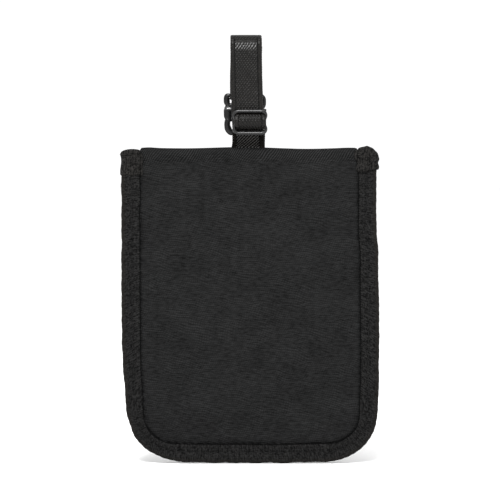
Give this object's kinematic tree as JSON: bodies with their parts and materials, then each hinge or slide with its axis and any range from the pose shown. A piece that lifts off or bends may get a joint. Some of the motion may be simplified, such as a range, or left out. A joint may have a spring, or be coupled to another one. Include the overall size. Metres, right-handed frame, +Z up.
{
  "type": "hanging pouch wallet",
  "caption": "Slim fabric pouch wallet with bound edges and a rear zip, hung from a short adjustable elastic loop with a release hook.",
  "frame": {"origin": "inner top of the strap loop, half way between its two legs, where the strap that carries the pouch passes through", "axes": "+Z up along the strap, -Y towards the plain outer face, +X to the right seen from that face"},
  "size_m": [0.1008, 0.0138, 0.1663],
  "materials": {
    "pouch_fabric": "satin twill weave",
    "lining_fabric": "plain weave",
    "binding_tape": "ribbed tape",
    "elastic_webbing": "woven elastic",
    "thread": "spun thread",
    "zip_tape": "herringbone tape",
    "zip_coil": "satin monofilament",
    "zip_metal": "satin black paint",
    "hook_finish": "semi-gloss black coat",
    "adjuster_finish": "semi-gloss black coat"
  },
  "bodies": {
    "strap": {"strap_outer_layer": "elastic_webbing", "strap_inner_layer": "elastic_webbing", "anchor_loop": "elastic_webbing"},
    "rear_leg": {"strap_rear_leg": "elastic_webbing", "strap_hook": "hook_finish"},
    "adjuster": {"adjuster_slider": "adjuster_finish", "adjuster_bight": "elastic_webbing", "adjuster_end_fold": "elastic_webbing"},
    "pouch": {"front_panel": "pouch_fabric", "rear_panel": "pouch_fabric", "pocket_lining": "lining_fabric", "edge_binding": "binding_tape", "binding_end_left": "binding_tape", "binding_end_right": "binding_tape", "binding_stitching": "thread", "zip_tape_upper": "zip_tape", "zip_tape_lower": "zip_tape", "zip_coil_upper": "zip_coil", "zip_coil_lower": "zip_coil", "zip_stitching": "thread"},
    "zip_slider": {"zip_slider_body": "zip_metal"},
    "zip_pull": {"zip_pull_tab": "zip_metal"}
  },
  "joints": [
    {"name": "pouch_swing", "type": "hinge", "parent": "strap", "child": "pouch", "pos_m": [0, 0, -0.044], "axis": [1, 0, 0], "range_deg": [-90, 90]},
    {"name": "adjuster_slide", "type": "slide", "parent": "strap", "child": "adjuster", "axis": [0, 0, 1], "range_m": [0, 0.022]},
    {"name": "hook_release", "type": "slide", "parent": "strap", "child": "rear_leg", "axis": [-1, 0, 0], "range_m": [0, 0.014]},
    {"name": "zip_slide", "type": "slide", "parent": "pouch", "child": "zip_slider", "axis": [-1, 0, 0], "range_m": [0, 0.072]},
    {"name": "zip_pull_flip", "type": "hinge", "parent": "zip_slider", "child": "zip_pull", "pos_m": [0.036, 0.0043, -0.0598], "axis": [0, 0, -1], "range_deg": [0, 180]}
  ]
}
